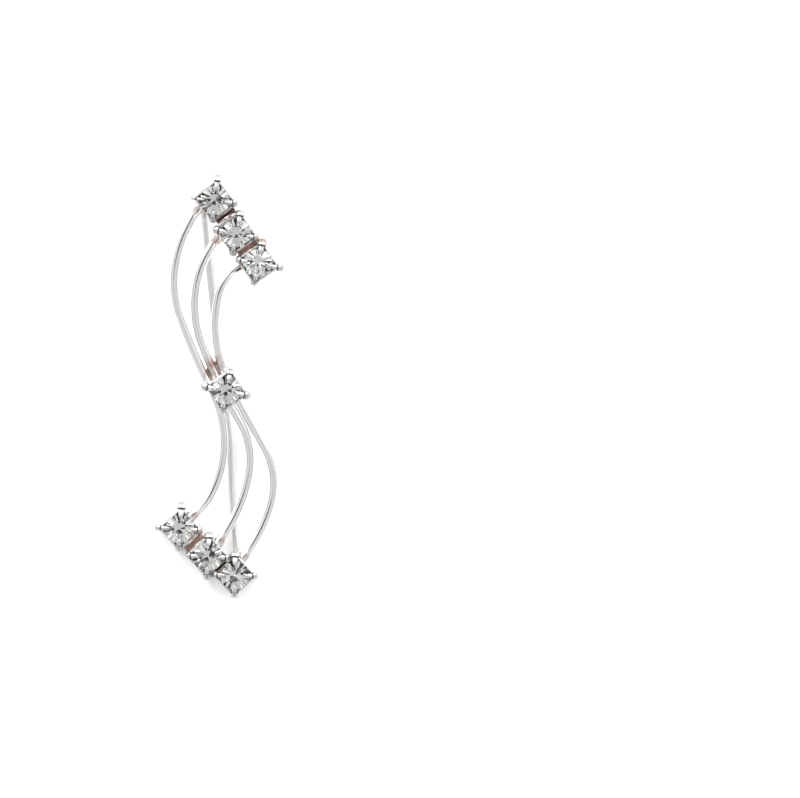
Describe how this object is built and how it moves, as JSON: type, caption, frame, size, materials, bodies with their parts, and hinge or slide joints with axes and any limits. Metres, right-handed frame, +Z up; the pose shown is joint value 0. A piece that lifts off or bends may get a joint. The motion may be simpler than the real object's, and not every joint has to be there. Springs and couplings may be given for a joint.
{
  "type": "ear climber",
  "caption": "Ear climber: round clear stones in square claw cups, soldered to curved silver wires that sweep along the ear, with a bent ear pin behind.",
  "frame": {"origin": "bottom centre of the bounding box, on the surface that the climber lies on", "axes": "+Z up, the way the front faces; +Y along the front, to the cups that the ear pin is soldered behind; +X to the right as the front is seen"},
  "size_m": [0.0132, 0.0444, 0.0064],
  "materials": {
    "silver": "bright silver plate, coppery at the solder joints",
    "stone": "clear faceted glass, backed with foil"
  },
  "bodies": {
    "root": {"soldered_frame": "silver", "stone_1": "stone", "stone_2": "stone", "stone_3": "stone", "stone_4": "stone", "stone_5": "stone", "stone_6": "stone", "stone_7": "stone"}
  },
  "joints": []
}
